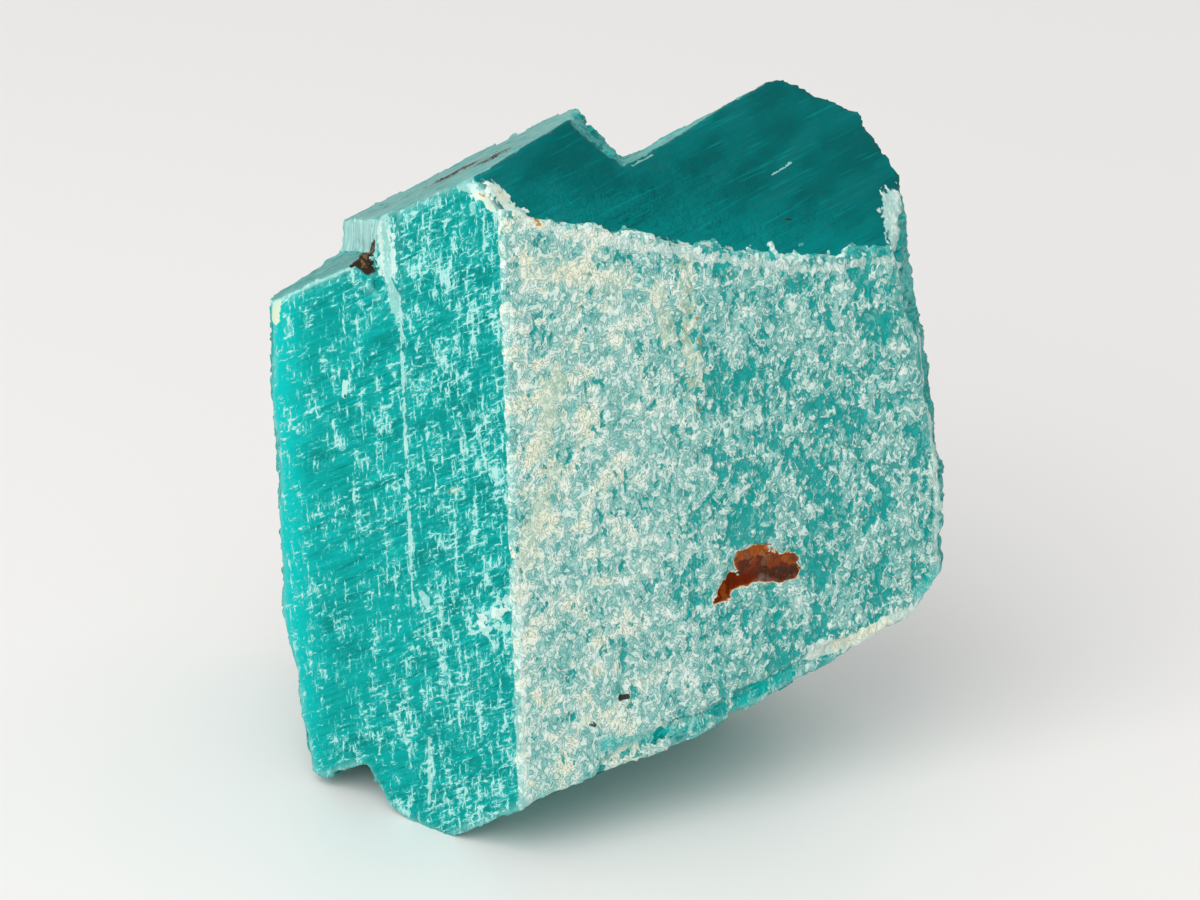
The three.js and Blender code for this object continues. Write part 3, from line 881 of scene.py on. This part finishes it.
    def terrace(self, shade):
        """The pale streaked terrace and its ribbed riser, and the brown crumbs in the pocket beside them."""
        wires = self.wires
        streaked = wires.ramp(self.streaks, 0.36, 0.6, 0.25, 0.9)
        shade = self.over(shade, "terrace", self.times(streaked, self.shelf))
        shade = self.lay(shade, self.terrace_marks, self.shelf)
        along, _, depth = wires.split(self.left)
        level = wires.math("SUBTRACT", wires.split(self.basal)[2], BASAL_OUT - STEP_DOWN)
        riser = self.times(wires.ramp(level, *RISER_FROM), wires.ramp(along, *RISER_ALONG),
                           wires.ramp(self.mask["basal_face"], 0.6, 0.1))
        ribs = wires.noise(wires.stretched(self.left, 2.2, 0.2), 1.0, 2.0)
        ribs = wires.ramp(ribs, 0.35, 0.65, 0.45, 0.95)
        shade = self.over(shade, "albite", self.times(ribs, riser))
        shade = self.lay(shade, self.step_marks, wires.ramp(depth, *STEP_FROM))
        return self.lay(shade, self.pocket_marks, wires.ramp(depth, *POCKET_FROM))

    def crust(self):
        """Grey-teal ground, curling ridges, creamy patches and worn places, and where there is any crust."""
        wires, mask, colour, worm = self.wires, self.mask, self.colour, self.worm
        along, _, depth = wires.split(self.right)
        broad = mask["broad"]
        chips = wires.noise(self.right, 0.75, 2.0, 0.6)
        spread = self.times(wires.ramp(chips, 0.45, 0.7), wires.ramp(along, *SPREAD_ALONG, 0.15, 0.9))
        crusted = wires.ramp(wires.math("ADD", spread, depth), *CRUST_FROM)
        crusted = wires.math("MAXIMUM", crusted, self.times(self.corners, mask["top_face"]))
        patch = wires.stretched(warped(wires, self.right, 0.9, 0.8), 1.5, 0.9)
        patch = wires.ramp(wires.noise(patch, 1.1, 2.0, 0.6), 0.3, 0.7, 0.22, 0.82)
        value = wires.math("ADD", patch, wires.ramp(broad, 0.35, 0.65, -0.19, 0.2))
        thin = wires.ramp(along, *THIN_ALONG)
        value = wires.math("ADD", value, wires.math("MULTIPLY_ADD", thin, -0.2, 0.08))
        shade = self.tone(value, colour["crust_deep"], colour["crust"], colour["ridge"])
        creamy = self.times(wires.ramp(broad, 0.5, 0.62), wires.ramp(along, *CREAM_ALONG))
        shade = self.over(shade, "cream", self.times(creamy, wires.ramp(value, 0.4, 0.8), 0.7))
        level = worn_patches(wires, self.right, mask["worn_level"])
        level = wires.math("MULTIPLY_ADD", worm["Ground"], 0.1, level)
        bare = wires.ramp(level, *WORN_BARE)
        shade = self.over(shade, "worn", self.times(bare, 0.92))
        lines = wires.blend(0.58, 0.14, bare)
        shade = self.over(shade, "ridge", self.times(worm["Ridge"], lines))
        shade = self.over(shade, "crust_deep", self.times(worm["Furrow"], wires.math("ADD", lines, 0.1)))
        specks = wires.ramp(wires.noise(self.right, 2.4, 1.0), 0.7, 0.76)
        shade = self.over(shade, "ochre", self.times(specks, self.speck_band, 0.8))
        return shade, crusted

    def start_marks(self):
        """The marks of every face, each with the noise that makes it ragged."""
        wires = self.wires
        rag = self.worm["Ground"]
        self.left_marks = self.marks(LEFT_MARKS, self.left, rag)
        self.right_marks = self.marks(RIGHT_MARKS, self.right, rag)
        self.foot_marks = self.marks(FOOT_MARKS, self.right, rag)
        self.top_marks = self.marks(TOP_MARKS, self.top, rag)
        self.corners = self.marks(CORNERS, self.top, rag)[1]
        self.stain_marks = self.marks(STAIN, self.right, rag, STAIN_PATH)
        self.stain_inner = self.marks(STAIN_INNER, self.right, rag)[1]
        self.speck_band = self.marks(SPECK_BAND, self.right, wires.noise(self.right, 0.5))[1]
        self.streaks = wires.noise(wires.stretched(self.basal, 1.8, 0.35), 0.9, 2.0, 0.6)
        pale = wires.ramp(wires.split(self.basal)[2], *PALE_FROM, 0.3, 1.0)
        self.shelf = self.times(self.mask["basal_face"], pale)
        lumps = wires.noise(self.place, 2.2, 2.0, 0.65)
        self.terrace_marks = self.marks(TERRACE_MARKS, self.basal, lumps)
        self.step_marks = self.marks(STEP_END, self.left, lumps)
        self.pocket_marks = self.marks(POCKET, self.left, lumps)

    def build(self, shader):
        """The whole finish, joined to the stone's shader."""
        wires, mask, worm = self.wires, self.mask, self.worm
        self.start_marks()
        shade = wires.paint(self.body(), self.smooth_top(), wires.math("MULTIPLY", mask["top_face"], 0.96))
        shade = self.lay(shade, self.left_marks, mask["left_face"])
        shade = self.terrace(shade)
        crust, crusted = self.crust()
        shade = wires.paint(shade, crust, crusted)
        shade = self.over(shade, "ridge", self.times(self.corners, mask["top_face"], 0.45))
        shade = self.lay(shade, self.top_marks, mask["top_face"])
        depth = wires.split(self.right)[2]
        shade = self.lay(shade, self.right_marks, wires.ramp(depth, *MARKS_FROM))
        shade = self.lay(shade, self.foot_marks, wires.ramp(depth, *FOOT_FROM))
        hollow = wires.ramp(depth, *STAIN_FROM)
        shade = self.lay(shade, self.stain_marks, hollow)
        inner = self.times(self.stain_inner, hollow)
        tint = wires.noise(self.right, 1.1, 2.0, 0.6)
        shade = self.over(shade, "amber", self.times(wires.ramp(tint, 0.5, 0.62), inner, 0.3))
        shade = self.over(shade, "brown", self.times(wires.ramp(tint, 0.5, 0.38), inner, 0.45))
        clean = wires.blend(0.5, 0.0, wires.math("MAXIMUM", self.pocket_marks[1], mask["top_face"]))
        shade = self.over(shade, "albite", self.times(mask["edge"], worm["Ground"], clean))
        wires.put(shader.inputs["Base Color"], shade)

        rough = wires.blend(ROUGH_BODY, ROUGH_TOP, mask["top_face"])
        wires.put(shader.inputs["Roughness"], wires.blend(rough, ROUGH_CRUST, crusted))
        shader.inputs["Specular IOR Level"].default_value = SPECULAR
        wires.put(shader.inputs["Coat Weight"], wires.math("MULTIPLY", inner, STAIN_COAT))
        shader.inputs["Coat Roughness"].default_value = STAIN_COAT_ROUGH

        height = wires.math("SUBTRACT", worm["Ridge"], worm["Furrow"])
        height = self.times(height, mask["right_face"], RIDGE_BUMP)
        bump = wires.node("ShaderNodeBump", Distance=MM, Strength=1.0, Height=height)
        wires.put(shader.inputs["Normal"], bump.outputs[0])


class AMAZONITE_OT_finish(bpy.types.Operator):
    """Gives the stone its colours and its fine grain"""

    bl_idname = "amazonite.finish"
    bl_label = "Finish"

    def execute(self, context):
        material = bpy.data.materials.new("amazonite")
        material.use_nodes = True
        material.node_tree.nodes.clear()
        wires = Wires(material.node_tree)
        out = wires.node("ShaderNodeOutputMaterial")
        shader = wires.node("ShaderNodeBsdfPrincipled")
        wires.put(out.inputs["Surface"], shader.outputs[0])
        Finish(wires, context.scene.amazonite_colours).build(shader)
        bpy.data.objects[STONE].data.materials.append(material)
        return {"FINISHED"}


# ---------------------------------------------------------------- the studio

# The place that the camera looks at, how far from it the camera is, in millimetres, and how steeply
# it looks down, in degrees.
AIM = (5.773, -14.266, 34.637)
CAMERA_DISTANCE = 373.13
CAMERA_ELEVATION = 25
SENSOR = 36
# The floor and the large soft light, in metres.
FLOOR_SIZE = 4.0
FLOOR_ROUGHNESS = 0.35
KEY_FROM = (-0.38, -0.62, 0.68)
KEY_DISTANCE = 0.75
KEY_SIZE = 0.75


def look_at(piece, target):
    piece.rotation_euler = (target - piece.location).to_track_quat("-Z", "Y").to_euler()


class AMAZONITE_OT_stage(bpy.types.Operator):
    """Sets the floor, the lights and the camera"""

    bl_idname = "amazonite.stage"
    bl_label = "Studio"

    def execute(self, context):
        settings = context.scene.amazonite_stage
        bpy.ops.object.select_all(action="DESELECT")
        bpy.ops.mesh.primitive_plane_add(size=FLOOR_SIZE)
        floor = context.view_layer.objects.active
        floor.name = "studio_floor"
        material = bpy.data.materials.new("studio_floor")
        material.use_nodes = True
        shader = material.node_tree.nodes["Principled BSDF"]
        shader.inputs["Base Color"].default_value = settings.floor
        shader.inputs["Roughness"].default_value = FLOOR_ROUGHNESS
        floor.data.materials.append(material)

        world = bpy.data.worlds.new("studio")
        world.use_nodes = True
        background = world.node_tree.nodes["Background"]
        background.inputs["Color"].default_value = (1, 1, 1, 1)
        background.inputs["Strength"].default_value = settings.fill
        context.scene.world = world
        context.scene.view_settings.view_transform = "Standard"

        target = Vector(AIM) * MM
        key = bpy.data.lights.new("key_light", "AREA")
        key.shape = "SQUARE"
        key.size = KEY_SIZE
        key.energy = settings.key_power
        lamp = bpy.data.objects.new("key_light", key)
        context.scene.collection.objects.link(lamp)
        lamp.location = target + Vector(KEY_FROM).normalized() * KEY_DISTANCE
        look_at(lamp, target)

        elevation = math.radians(CAMERA_ELEVATION)
        camera = bpy.data.objects.new("camera", bpy.data.cameras.new("camera"))
        context.scene.collection.objects.link(camera)
        camera.data.sensor_width = SENSOR
        camera.data.lens = settings.lens
        back = Vector((0, -math.cos(elevation), math.sin(elevation)))
        camera.location = target + back * CAMERA_DISTANCE * MM
        look_at(camera, target)
        context.scene.camera = camera
        return {"FINISHED"}


class AMAZONITE_PT_panel(bpy.types.Panel):
    """The stone's settings and its steps in order"""

    bl_label = "Rough amazonite"
    bl_idname = "AMAZONITE_PT_panel"
    bl_space_type = "VIEW_3D"
    bl_region_type = "UI"
    bl_category = "Amazonite"

    def draw(self, context):
        for (name, kind), step in zip(SETTINGS.items(), STEPS):
            box = self.layout.box()
            for setting in kind.__annotations__:
                box.prop(getattr(context.scene, name), setting)
            box.operator(step.bl_idname)


SETTINGS = {
    "amazonite_stone": StoneSettings,
    "amazonite_colours": ColourSettings,
    "amazonite_stage": StageSettings,
}
STEPS = (AMAZONITE_OT_stone, AMAZONITE_OT_finish, AMAZONITE_OT_stage)
CLASSES = (*SETTINGS.values(), *STEPS, AMAZONITE_PT_panel)


def register():
    for made in CLASSES:
        bpy.utils.register_class(made)
    for name, kind in SETTINGS.items():
        setattr(bpy.types.Scene, name, bpy.props.PointerProperty(type=kind))


def unregister():
    for name in SETTINGS:
        delattr(bpy.types.Scene, name)
    for made in reversed(CLASSES):
        bpy.utils.unregister_class(made)


def main():
    register()
    bpy.ops.amazonite.stone()
    bpy.ops.amazonite.finish()
    bpy.ops.amazonite.stage()


if __name__ == "__main__":
    main()
